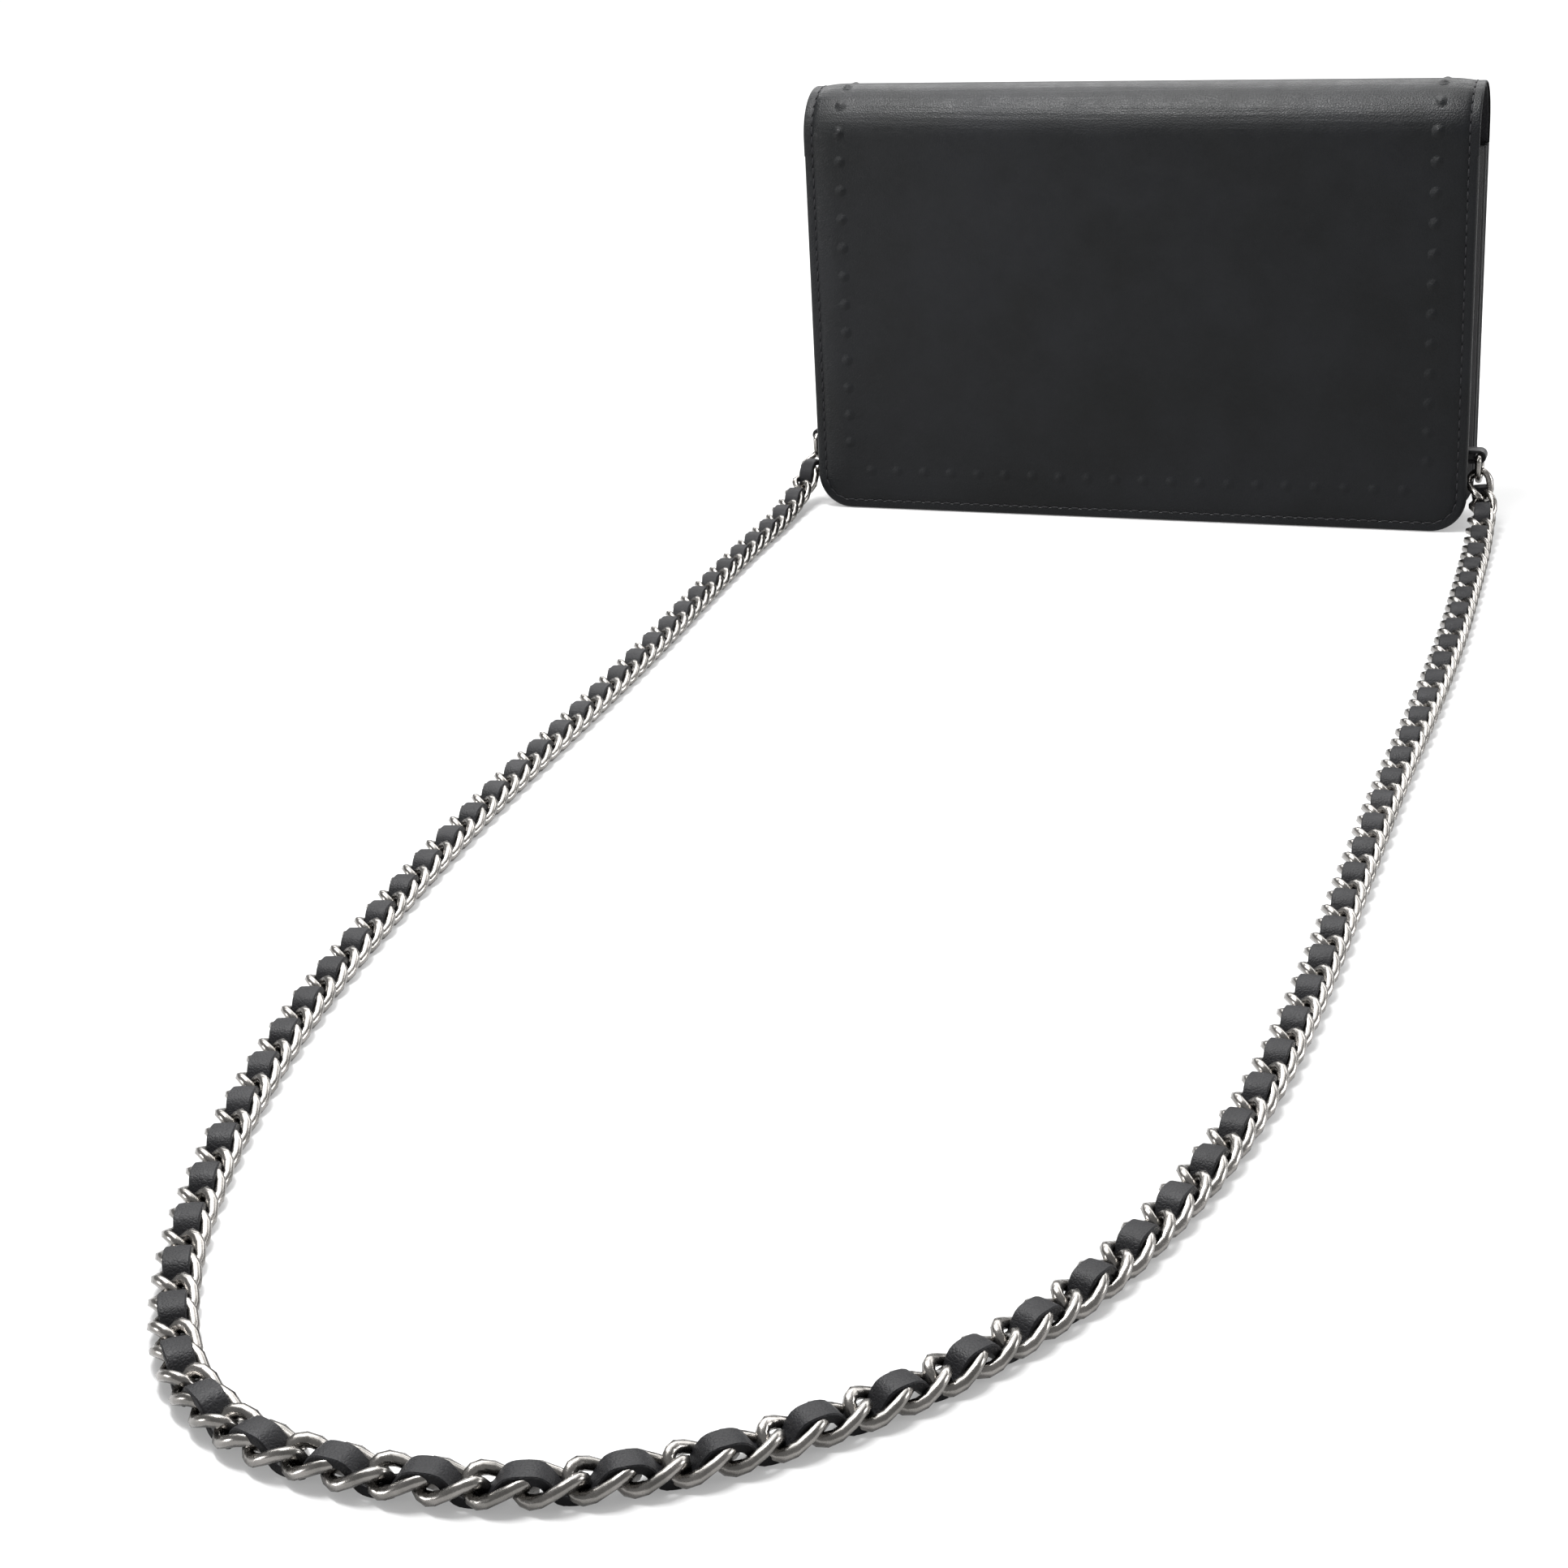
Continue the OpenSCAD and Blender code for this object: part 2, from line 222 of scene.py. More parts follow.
def plated(name, dark, light, rough, scratch_mm):
    # Metal plated dark nickel and polished: bright, faintly brown-grey, with hairline marks from wear.
    made, tree, shader, place = material(name)
    shader.inputs["Metallic"].default_value = 1.0
    tone = noise(tree, place, 4, 2)
    tree.links.new(colours(tree, tone, dark, light), shader.inputs["Base Color"])
    marks = noise(tree, place, scratch_mm, 4, 0.7)
    tree.links.new(band(tree, marks, 0.3, 0.7, rough - 0.05, rough + 0.10), shader.inputs["Roughness"])
    tree.links.new(bump(tree, marks, 0.06, 0.00005), shader.inputs["Normal"])
    return made


def woven(name, dark, light, pitch_mm, slant, rough):
    # Polyester cloth: two sets of threads cross, and each thread rounds up between its neighbours.
    made, tree, shader, place = material(name)
    turned = node(tree, "Mapping", None, Vector=place, Rotation=(0, math.radians(slant), 0)).outputs["Vector"]
    threads = [
        node(tree, "TexWave", {"bands_direction": way, "wave_profile": "SIN"}, Vector=turned,
             Scale=1000 / (pitch_mm * 2 * math.pi), Distortion=0.4, Detail=1).outputs["Fac"]
        for way in ("X", "Z")
    ]
    crossed = product(tree, *threads)
    tree.links.new(colours(tree, crossed, dark, light, 0.1, 0.8), shader.inputs["Base Color"])
    shader.inputs["Roughness"].default_value = rough
    shader.inputs["Sheen Weight"].default_value = 0.25
    shader.inputs["Sheen Roughness"].default_value = 0.5
    tree.links.new(bump(tree, crossed, 0.5, 0.0002), shader.inputs["Normal"])
    return made


def greyboard(name):
    # Pressed grey fibreboard, unfinished: flecks of fibre and a dry, dull surface.
    made, tree, shader, place = material(name)
    fibre = noise(tree, place, 1.5, 5, 0.7)
    tree.links.new(colours(tree, fibre, "#6f695f", "#a39b8e"), shader.inputs["Base Color"])
    shader.inputs["Roughness"].default_value = 0.92
    tree.links.new(bump(tree, fibre, 0.3, 0.0001), shader.inputs["Normal"])
    return made


def thread(name, dark, light):
    # Bonded polyester sewing thread: two plies that turn every 0.4 mm, with a slight waxed shine.
    made, tree, shader, place = material(name)
    twist = noise(tree, place, 0.4, 1)
    tree.links.new(colours(tree, twist, dark, light), shader.inputs["Base Color"])
    shader.inputs["Roughness"].default_value = 0.65
    shader.inputs["Specular IOR Level"].default_value = 0.22
    tree.links.new(bump(tree, twist, 0.3, 0.00005), shader.inputs["Normal"])
    return made


# The grain of lambskin is about 0.3 mm; it is drawn at 0.7 mm so that it shows.
skin_leather = lambskin("black_lambskin", "#0a0b0c", "#0f1012", 0.40, 0.7, 0.13, crease=0.6)
edge_leather = lambskin("black_lambskin_gusset", "#0a0a0b", "#101012", 0.52, 0.7, 0.2, wave=0.2)
lining_leather = lambskin("lining_split_leather", "#161618", "#202023", 0.60, 0.9, 0.25)
slot_leather = lambskin("card_slot_leather", "#1a1a1c", "#232326", 0.55, 0.8, 0.3)
lace_leather = lambskin("lace_lambskin", "#0b0b0d", "#141416", 0.52, 0.6, 0.13, wave=0.6)
tab_leather = lambskin("tab_lambskin", "#101012", "#19191b", 0.45, 0.6, 0.35, wave=0.2)
gunmetal = plated("dark_nickel_plate", "#716f6c", "#8a8784", 0.22, 0.25)
zip_metal = plated("zip_nickel_plate", "#86827c", "#9d9891", 0.28, 0.3)
twill = woven("polyester_twill", "#131315", "#2c2c30", 0.7, 45, 0.75)
tape_cloth = woven("zip_tape_weave", "#0b0b0c", "#1e1e20", 0.6, 0, 0.8)
board = greyboard("greyboard")
seam_thread = thread("bonded_thread", "#08080a", "#131316")


# ---------------------------------------------------------------- mesh helpers
def piece(bm, name, finish, body=None, replaces=(), sharp=38):
    """A finished object from a mesh drawn in millimetres."""
    bmesh.ops.recalc_face_normals(bm, faces=bm.faces)
    bmesh.ops.scale(bm, vec=(MM, MM, MM), verts=bm.verts)
    mesh = bpy.data.meshes.new(name)
    bm.to_mesh(mesh)
    bm.free()
    mesh.shade_smooth()
    mesh.set_sharp_from_angle(angle=math.radians(sharp))
    mesh.materials.append(finish)
    made = bpy.data.objects.new(name, mesh)
    bpy.context.scene.collection.objects.link(made)
    if body:
        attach(made, body)
    if replaces:
        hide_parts(*replaces)
    return made


def face_of(bm, points):
    """A flat section with these corners."""
    return bm.faces.new([bm.verts.new(p) for p in points])


def whole(face):
    """A face with its edges and corners, as the operators want it."""
    return [face, *face.edges, *face.verts]


def go(bm, face, vec):
    """Draws a section straight on and returns its new end."""
    new = bmesh.ops.extrude_face_region(bm, geom=whole(face))["geom"]
    bmesh.ops.translate(bm, vec=vec, verts=[v for v in new if isinstance(v, bmesh.types.BMVert)])
    return next(f for f in new if isinstance(f, bmesh.types.BMFace))


def turn(bm, face, centre, axis, degrees, steps):
    """Draws a section round a centre and returns its new end."""
    new = bmesh.ops.spin(bm, geom=whole(face), cent=centre, axis=axis, angle=math.radians(degrees), steps=steps)
    return next(f for f in new["geom_last"] if isinstance(f, bmesh.types.BMFace))


def round_off(bm, geom, offset, segments, affect="EDGES", clamp=False):
    """Rounds edges, or the corners of a flat face."""
    bmesh.ops.bevel(bm, geom=geom, offset=offset, offset_type="OFFSET", affect=affect, segments=segments,
                    profile=0.5, material=-1, clamp_overlap=clamp)


def inset(bm, face, thickness, depth=0):
    bmesh.ops.inset_region(bm, faces=[face], thickness=thickness, depth=depth, use_even_offset=True,
                           use_boundary=True)


def cube(bm, low, high):
    """A box between two corners; returns its corners."""
    place = Matrix.Translation((low + high) / 2) @ Matrix.Diagonal((high - low).to_4d())
    return bmesh.ops.create_cube(bm, size=1, matrix=place)["verts"]


def block(bm, low, high, round_mm=0.2, segments=2):
    """A box between two corners with rounded edges."""
    edges = {e for v in cube(bm, Vector(low), Vector(high)) for e in v.link_edges}
    round_off(bm, list(edges), round_mm, segments, clamp=True)


def rod(bm, centre, radius, length, axis, segments):
    """A round bar centred on a point: along Y when it is turned about X, along X when turned about Y."""
    bmesh.ops.create_cone(bm, cap_ends=True, segments=segments, radius1=radius, radius2=radius, depth=length,
                          matrix=Matrix.Translation(centre) @ Matrix.Rotation(math.pi / 2, 4, axis))


def revolve(profile, steps):
    """A round shape about Z from its half section: (radius, height)."""
    bm = bmesh.new()
    verts = [bm.verts.new((r, 0, h)) for r, h in profile]
    edges = [bm.edges.new(pair) for pair in zip(verts, verts[1:])]
    bmesh.ops.spin(bm, geom=[*verts, *edges], cent=(0, 0, 0), axis=(0, 0, 1), angle=2 * math.pi, steps=steps,
                   use_merge=True)
    bmesh.ops.remove_doubles(bm, verts=bm.verts, dist=0.0005)
    return bm


def lay(bm, base, places):
    """Adds a copy of a small mesh at each place."""
    for place in places:
        first = len(bm.verts)
        bm.from_mesh(base)
        bm.verts.ensure_lookup_table()
        bmesh.ops.transform(bm, matrix=place, verts=bm.verts[first:])


def facing(at, along, out):
    """A place whose X runs along a line and whose Z points out of the surface."""
    x = along.normalized()
    z = (out - out.dot(x) * x).normalized()
    return Matrix.Translation(at) @ Matrix((x, z.cross(x), z)).transposed().to_4x4()


def small(bm):
    """A mesh to be laid many times."""
    mesh = bpy.data.meshes.new("base")
    bmesh.ops.recalc_face_normals(bm, faces=bm.faces)
    bm.to_mesh(mesh)
    bm.free()
    return mesh


def stitch_base():
    """A stitch: a grain of thread, given by its three half sizes."""
    bm = bmesh.new()
    shape = Matrix.Diagonal((1.28, 0.34, 0.30, 1)) @ Matrix.Rotation(math.pi / 2, 4, "Y")
    bmesh.ops.create_uvsphere(bm, u_segments=6, v_segments=4, radius=1, matrix=shape)
    return small(bm)


STITCH = stitch_base()
STITCH_PITCH = 3.0
RIM_INSET = 2.65


# ---------------------------------------------------------------- chain
CHAIN_Z = 2.5
WIRE = 2.15
LINK_W = 8.1
LINK_L = 11.1
LINK_PITCH = 6.85
LINK_TWIST = -46
# From a link's middle to where the next one, or a ring, bears on it
HOOK = LINK_L / 2 - WIRE - 0.9

# The loop on the floor, from the left end round to the right one
LOOP = [
    (-100, -44), (-99, -72), (-97, -105), (-93, -158), (-90, -212), (-88, -260), (-85, -303), (-81, -341),
    (-76, -377), (-69, -410), (-60, -441), (-49, -469), (-35, -492), (-18, -505), (-2, -509), (14, -509),
    (28, -506), (40, -500), (51, -492), (61, -482), (71, -470), (80, -455), (88, -437), (94, -416),
    (99, -390), (102, -358), (103, -320), (103, -275), (103, -225), (104, -165), (104, -115), (103, -75),
    (102, -44),
]
# At both ends it rises to a ring
ROUTE = [
    (-98.4, -5.6, 14.2), (-100.4, -11, 8.2), (-101, -22, 4.5),
    *((x, y, CHAIN_Z) for x, y in LOOP),
    (101, -22, 4.5), (100.4, -11, 8.2), (98.4, -5.6, 14.2),
]


def through(points, parts):
    """A smooth line through the points, never below the height at which the chain lies."""
    line = []
    for i in range(len(points) - 1):
        a, b, c, d = (Vector(points[min(max(i + k, 0), len(points) - 1)]) for k in (-1, 0, 1, 2))
        for k in range(parts):
            t = k / parts
            square, cubic = 2 * a - 5 * b + 4 * c - d, 3 * b - a - 3 * c + d
            p = 0.5 * (2 * b + (c - a) * t + square * t * t + cubic * t ** 3)
            line.append(Vector((p.x, p.y, max(p.z, CHAIN_Z))))
    return line + [Vector(points[-1])]


LINE = through(ROUTE, 24)
ALONG = [0.0]
for before, after in zip(LINE, LINE[1:]):
    ALONG.append(ALONG[-1] + (after - before).length)
LENGTH = ALONG[-1]
LINKS = 2 * round((LENGTH - 2 * HOOK) / LINK_PITCH / 2) + 1
PITCH = (LENGTH - 2 * HOOK) / (LINKS - 1)


def on_route(s):
    """The chain's place at a distance along it: X ahead, Z up."""
    low, high = 0, len(ALONG) - 1
    while high - low > 1:
        middle = (low + high) // 2
        low, high = (middle, high) if ALONG[middle] <= s else (low, middle)
    step = (s - ALONG[low]) / (ALONG[high] - ALONG[low])
    ahead = LINE[min(low + 2, len(LINE) - 1)] - LINE[max(low - 1, 0)]
    return facing(LINE[low].lerp(LINE[high], step), ahead, Vector((0, 0, 1)))


def link_base():
    """One curb link: a round wire bent to an oval, then twisted along its length."""
    bm = bmesh.new()
    reach, half = (LINK_L - WIRE) / 2, (LINK_W - WIRE) / 2
    place = Matrix.Translation((half, 0, 0)) @ Matrix.Rotation(math.pi / 2, 4, "X")
    ring = bmesh.ops.create_circle(bm, segments=6, radius=WIRE / 2, matrix=place)["verts"]
    edges = {e for v in ring for e in v.link_edges}
    bmesh.ops.spin(bm, geom=[*ring, *edges], cent=(0, 0, 0), axis=(0, 0, 1), angle=2 * math.pi, steps=18,
                   use_merge=True)
    for v in bm.verts:
        # Straighter sides and fuller ends than a circle has
        a = math.atan2(v.co.y, v.co.x)
        v.co.x += math.copysign(abs(math.cos(a)) ** 0.85, math.cos(a)) * reach - math.cos(a) * half
        v.co.y += (math.copysign(abs(math.sin(a)) ** 0.75, math.sin(a)) - math.sin(a)) * half
        v.co.rotate(Matrix.Rotation(math.radians(LINK_TWIST) * v.co.x / reach, 3, "X"))
    return small(bm)


LINK = link_base()


def links(name, first, last):
    bm = bmesh.new()
    lay(bm, LINK, [on_route(HOOK + i * PITCH) for i in range(first, last)])
    return piece(bm, name, gunmetal, sharp=180)


# How far the lace swings above and below the chain's middle, and how long it stays there
LACE_RISE = 1.85
LACE_FLAT = 1.9
LACE_RINGS = 12


def lace(name, start, end):
    """The leather lace, woven over one pair of links and under the next."""
    bm = bmesh.new()
    rings = round((end - start) / PITCH * LACE_RINGS)
    before = None
    for k in range(rings + 1):
        s = start + (end - start) * k / rings
        phase = math.pi * (s - HOOK - PITCH / 2) / PITCH
        wave, slope = math.cos(phase), -math.sin(phase) * math.pi / PITCH
        lift = LACE_RISE * math.tanh(LACE_FLAT * wave) / math.tanh(LACE_FLAT)
        rate = LACE_RISE * LACE_FLAT * slope / math.cosh(LACE_FLAT * wave) ** 2 / math.tanh(LACE_FLAT)
        # A flat strap with its corners taken off and its top a little crowned
        w, t, cut = 2.05 + 0.15 * abs(wave), 0.78, 0.22
        section = [(w, t - cut), (w - cut, t), (0, t + 0.1), (cut - w, t), (-w, t - cut),
                   (-w, cut - t), (cut - w, -t), (w - cut, -t), (w, cut - t)]
        tilt = Matrix.Rotation(-math.atan(rate), 4, "Y")
        place = on_route(s) @ Matrix.Translation((0, 0, lift)) @ tilt
        ring = []
        for y, z in section:
            corner = place @ Vector((0, y, z))
            # The lace flattens against the floor
            ring.append(bm.verts.new((corner.x, corner.y, max(corner.z, 0.05))))
        if before:
            for j in range(len(section)):
                bm.faces.new((before[j - 1], before[j], ring[j], ring[j - 1]))
        if k in (0, rings):
            bm.faces.new(ring)
        before = ring
    return piece(bm, name, lace_leather, sharp=40)


END_LINKS = 3
LACE_START = HOOK + (END_LINKS - 0.5) * PITCH
LACE_END = LENGTH - LACE_START

chain_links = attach(links("chain_links", END_LINKS, LINKS - END_LINKS), "root")
chain_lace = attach(lace("chain_lace", LACE_START, LACE_END), "root")
for side, start, end, first, last in (
    ("left", HOOK, LACE_START, 0, END_LINKS),
    ("right", LACE_END, LENGTH - HOOK, LINKS - END_LINKS, LINKS),
):
    for made in (links(f"chain_end_links_{side}", first, last), lace(f"chain_end_lace_{side}", start, end)):
        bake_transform(made)
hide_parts("chain_strap")


# ---------------------------------------------------------------- panels
# Rounding of a panel's rim, how far its middle stands proud of the rim, and the groove that the stitches lie in
RIM_ROUND = 1.1
CROWN = 0.66
GROOVE = 0.22
STITCH_SINK = CROWN + GROOVE - 0.10
# The hollow of a panel's back begins this far in from the rim's rounding
HOLLOW_INSET = 5.4
# A panel that goes on into the fold is drawn longer by this and then cut
SPARE = 30
# From the rim inwards: each step goes further in by the first number and up by the second
FACE_STEPS = [(1.3, 0), (0.25, -GROOVE), (0.25, GROOVE), (1.6, 0.26), (1.6, 0.20), (1.6, 0.14), (1.6, 0.06)]


def panel_mesh(top, lift, cut):
    """A leather panel in XZ, its face towards -Y at Y = 0 and its back hollowed for board and lining."""
    bm = bmesh.new()
    over = top + (SPARE if cut else 0)
    sheet = face_of(bm, [(x, CROWN, z) for x, z in
                         ((-HALF_W, lift), (HALF_W, lift), (HALF_W, over), (-HALF_W, over))])
    feet = [v for v in sheet.verts if v.co.z < lift + 1]
    round_off(bm, feet, CORNER_R, 12, "VERTICES")
    go(bm, bm.faces[:][0], (0, PANEL_T - CROWN, 0))
    bmesh.ops.recalc_face_normals(bm, faces=bm.faces)
    rim = [e for e in bm.edges if abs(e.verts[0].co.y - e.verts[1].co.y) < 1e-6]
    round_off(bm, rim, RIM_ROUND, 4)
    front = min(bm.faces, key=lambda f: (round(f.calc_center_median().y, 4), -f.calc_area()))
    back = max(bm.faces, key=lambda f: (round(f.calc_center_median().y, 4), f.calc_area()))
    for thickness, depth in FACE_STEPS:
        inset(bm, front, thickness, depth)
    inset(bm, back, HOLLOW_INSET)
    inset(bm, back, 0.05, LEATHER_T - PANEL_T)
    if cut:
        geom = [*bm.verts, *bm.edges, *bm.faces]
        made = bmesh.ops.bisect_plane(bm, geom=geom, plane_co=(0, 0, top), plane_no=(0, 0, 1), clear_outer=True)
        bmesh.ops.contextual_create(bm, geom=[e for e in made["geom_cut"] if isinstance(e, bmesh.types.BMEdge)])
    return bm


def stand(bm, y_face, flip):
    """Brings a panel to its depth; a flipped one looks towards +Y."""
    if flip:
        bmesh.ops.rotate(bm, matrix=Matrix.Rotation(math.pi, 3, "Z"), verts=bm.verts)
    bmesh.ops.translate(bm, vec=(0, y_face, 0), verts=bm.verts)
    return bm


for name, body, lift, y_face, flip, cut in (
    ("back", "root", 0, -FOLD_R, False, True),
    ("flap", "flap", FLAP_LIFT, FOLD_R, True, True),
    ("front", "root", 0, FRONT_OUT, True, False),
):
    panel = stand(panel_mesh(BODY_TOP, lift, cut), y_face, flip)
    piece(panel, f"{name}_panel", skin_leather, body, [f"{name}_leather"])

# ---------------------------------------------------------------- fold
FOLD_CENTRE = Vector((0, 0, FOLD_Z))
# The fold is drawn as four tiles, each between two of the five bodies that the hinges join
TILES = 4
TILE_ANGLE = 180 / TILES
TILE_STEPS = 36


def skin_section(bm):
    """The panel's section as it leaves the back panel, in the plane at its top."""
    rim_y = -FOLD_R + CROWN
    steps = [(HALF_W, rim_y)]
    x, y = HALF_W - RIM_ROUND, rim_y
    for dx, dy in FACE_STEPS:
        x, y = x - dx, y - dy
        steps.append((x, y))
    outline = [(-x, y) for x, y in steps] + steps[::-1]
    outline += [(HALF_W, -FOLD_R + LEATHER_T), (-HALF_W, -FOLD_R + LEATHER_T)]
    face = face_of(bm, [(x, y, BODY_TOP) for x, y in outline])
    corners = [v for v in face.verts if abs(v.co.x) > HALF_W - 0.1 and v.co.y < rim_y + 0.1]
    round_off(bm, corners, 0.65, 4, "VERTICES")
    return bm.faces[:][0]


def lining_section(bm):
    """The fold's lining, a little narrower than the skin, and starting a little lower."""
    x, low = HALF_W - 0.6, -FOLD_R + LEATHER_T
    high = low + LINING_T
    return face_of(bm, [(a, b, BODY_TOP - 1) for a, b in ((-x, low), (x, low), (x, high), (-x, high))])


def fold_tile(section, index):
    """An eighth of a turn of the fold; the first and last tiles also have the straight part below it."""
    bm = bmesh.new()
    face = section(bm)
    straight = FOLD_Z - face.verts[0].co.z
    if index == 0:
        face = go(bm, face, (0, 0, straight))
    else:
        bmesh.ops.translate(bm, vec=(0, 0, straight), verts=bm.verts)
        back = Matrix.Rotation(math.radians(-TILE_ANGLE * index), 3, "X")
        bmesh.ops.rotate(bm, cent=FOLD_CENTRE, matrix=back, verts=bm.verts)
    face = turn(bm, face, FOLD_CENTRE, (1, 0, 0), -TILE_ANGLE, TILE_STEPS)
    if index == TILES - 1:
        go(bm, face, (0, 0, -straight))
    return bm


def bend(made):
    """Fixes a piece of the fold in place where it is drawn; it does not bend with the bodies on either side."""
    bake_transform(made)
    return made


for index in range(TILES):
    for layer, section, finish, slot in (
        ("fold_leather", skin_section, skin_leather, "black_leather"),
        ("fold_lining", lining_section, lining_leather, "lining_leather"),
    ):
        tile = bend(piece(fold_tile(section, index), f"{layer}_tile_{index + 1}", finish))
        if index < TILES - 1:
            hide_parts(f"{layer}_{index + 1}")

SKIN_LENGTH = 2 * FOLD_Z + math.pi * FOLD_R


def on_skin(x, w):
    """A place on the skin: x across, and w up from the back panel's foot, over the fold and down the flap."""
    a = min(max((w - FOLD_Z) / FOLD_R, 0), math.pi)
    out = Vector((0, -math.cos(a), math.sin(a)))
    along = Vector((0, math.sin(a), math.cos(a)))
    extra = min(w - FOLD_Z, 0) + max(w - FOLD_Z - math.pi * FOLD_R, 0)
    return facing(Vector((x, 0, FOLD_Z)) + FOLD_R * out + extra * along, along, out)


def part_of_skin(w):
    """-1 on the back panel, the tile's number on the fold, and TILES on the flap."""
    if w < BODY_TOP:
        return -1
    if w > SKIN_LENGTH - BODY_TOP:
        return TILES
    return min(max(int((w - FOLD_Z) / (FOLD_R * math.pi / TILES)), 0), TILES - 1)


def on_rim(lift):
    """Evenly spaced places for stitches round a panel's two sides and foot: x, z, and the direction there."""
    r = CORNER_R - RIM_INSET
    side, arc, foot = BODY_TOP - lift - CORNER_R, math.pi / 2 * r, 2 * (HALF_W - CORNER_R)
    total = 2 * side + 2 * arc + foot
    count = int(total / STITCH_PITCH)
    for k in range(count):
        s = (k + 0.5) * total / count
        flip = 1
        if s > total / 2:
            s, flip = total - s, -1
        if s < side:
            x, z, dx, dz = -HALF_W + RIM_INSET, BODY_TOP - s, 0, -1
        elif s < side + arc:
            a = (s - side) / r
            x, z = -HALF_W + CORNER_R - r * math.cos(a), lift + CORNER_R - r * math.sin(a)
            dx, dz = math.sin(a), -math.cos(a)
        else:
            x, z, dx, dz = -HALF_W + CORNER_R + s - side - arc, lift + RIM_INSET, 1, 0
        yield flip * x, z, dx, flip * dz


def seam(name, places, body=None, index=None):
    """A row of stitches, riding on a body, or fixed where it is drawn on a tile of the fold."""
    bm = bmesh.new()
    lay(bm, STITCH, places)
    made = piece(bm, name, seam_thread, body, sharp=180)
    return bend(made) if index is not None else made


def rim_seam(y_face, lift, look):
    """The stitches' places in a panel's groove, facing +Y or -Y."""
    out = Vector((0, look, 0))
    at = y_face - look * STITCH_SINK
    return [facing(Vector((x, at, z)), Vector((dx, 0, dz)), out) for x, z, dx, dz in on_rim(lift)]


seam("back_seam", rim_seam(-FOLD_R, 0, -1), "root")
seam("front_seam", rim_seam(FRONT_OUT, 0, 1), "root")
seam("flap_seam", rim_seam(FOLD_R, FLAP_LIFT, 1), "flap")

# The pressed points: how far in from the rim, how far apart, where a column starts and ends along the skin,
# and how far the row along the foot goes to each side
PIP_INSET = 11.0
PIP_PITCH = 8.3
PIP_START = 2 * PIP_INSET - 1.5
PIP_END = SKIN_LENGTH - FLAP_LIFT - 2 * PIP_INSET + 2
PIP_ROW = HALF_W - PIP_INSET - 7


def pip_base():
    """A small pointed bump pressed up from under the skin."""
    bm = revolve([(2.1, -0.6), (2.1, -0.1), (1.6, 0.1), (1.05, 0.42), (0.5, 0.76), (0, 0.86)], 9)
    bmesh.ops.holes_fill(bm, edges=bm.edges, sides=0)
    return small(bm)


PIP = pip_base()
pips = {k: [] for k in range(-1, TILES + 1)}
tile_seams = {k: [] for k in range(TILES)}
for side in (-1, 1):
    w = PIP_START
    while w < PIP_END:
        # They are pressed harder towards the fold
        strength = Matrix.Diagonal((1, 1, 0.32 + 0.45 * min(w, SKIN_LENGTH - w) / (SKIN_LENGTH / 2), 1))
        pips[part_of_skin(w)].append(on_skin(side * (HALF_W - PIP_INSET), w) @ strength)
        w += PIP_PITCH
    count = round((SKIN_LENGTH - 2 * BODY_TOP) / STITCH_PITCH)
    for k in range(count):
        w = BODY_TOP + (k + 0.5) * (SKIN_LENGTH - 2 * BODY_TOP) / count
        sunk = on_skin(side * (HALF_W - RIM_INSET), w) @ Matrix.Translation((0, 0, -STITCH_SINK))
        tile_seams[part_of_skin(w)].append(sunk)
row = round(2 * PIP_ROW / PIP_PITCH)
faint = Matrix.Diagonal((1, 1, 0.38, 1))
for k in range(row + 1):
    x = (k - row / 2) * PIP_PITCH
    pips[-1].append(on_skin(x, PIP_INSET + 1) @ faint)
    pips[TILES].append(on_skin(x, SKIN_LENGTH - FLAP_LIFT - PIP_INSET - 1) @ faint)
for key, places in pips.items():
    bm = bmesh.new()
    lay(bm, PIP, places)
    ends = {-1: ("back_pips", "root"), TILES: ("flap_pips", "flap")}
    name, body = ends.get(key, (f"fold_pips_{key + 1}", None))
    made = piece(bm, name, skin_leather, body, sharp=60)
    if not body:
        bend(made)
for key, places in tile_seams.items():
    seam(f"fold_seam_{key + 1}", places, index=key)


# ---------------------------------------------------------------- linings
LINING_INSET = 6.6


def lining_sheet(y_wall, inward, lift, to_fold):
    """A lining over a panel's board; a panel that goes on into the fold has it step back above the board."""
    bm = bmesh.new()
    x = HALF_W - LINING_INSET
    low, high = sorted((y_wall - inward * LINING_T, y_wall))
    start, top = lift + LINING_INSET, BODY_TOP - LINING_INSET
    face = face_of(bm, [(-x, low, start), (x, low, start), (x, high, start), (-x, high, start)])
    face = go(bm, face, (0, 0, top - start))
    if to_fold:
        face = go(bm, face, (0, -inward, 4))
        go(bm, face, (0, 0, 1.8))
    round_off(bm, [e for e in bm.edges if (e.verts[0].co - e.verts[1].co).xy.length < 1e-6], 0.3, 2)
    return bm


for name, body, y_wall, inward, lift, to_fold in (
    ("back", "root", BACK_IN, 1, 0, True),
    ("front", "root", FRONT_IN, -1, 0, False),
    ("flap", "flap", FLAP_IN, -1, FLAP_LIFT, True),
):
    sheet = lining_sheet(y_wall, inward, lift, to_fold)
    piece(sheet, f"{name}_lining_sheet", lining_leather, body, [f"{name}_lining"])
    materials = frame["nodes"][f"{name}_board"].data.materials
    materials.clear()
    materials.append(board)


